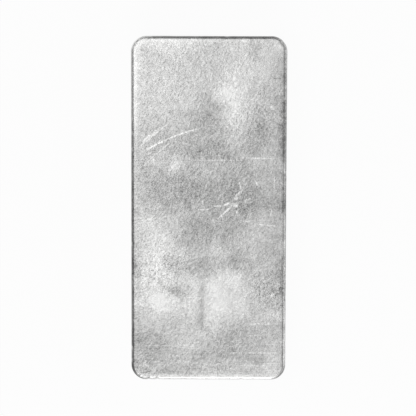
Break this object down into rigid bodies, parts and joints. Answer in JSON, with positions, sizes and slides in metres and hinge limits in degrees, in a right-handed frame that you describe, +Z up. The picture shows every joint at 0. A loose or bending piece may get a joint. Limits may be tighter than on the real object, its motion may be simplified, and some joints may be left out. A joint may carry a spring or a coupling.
{
  "type": "silver bar",
  "caption": "Cast bar of fine silver with drafted walls, rounded corners, a plain matte face up and a slightly sunken poured face down.",
  "frame": {"origin": "middle of the bar, on the surface that it lies on", "axes": "+Z up out of the plain face, +Y along the long side, +X along the short side"},
  "size_m": [0.0536, 0.1178, 0.0155],
  "materials": {
    "fine_silver": "satin"
  },
  "bodies": {
    "root": {"silver_bar": "fine_silver"}
  },
  "joints": []
}
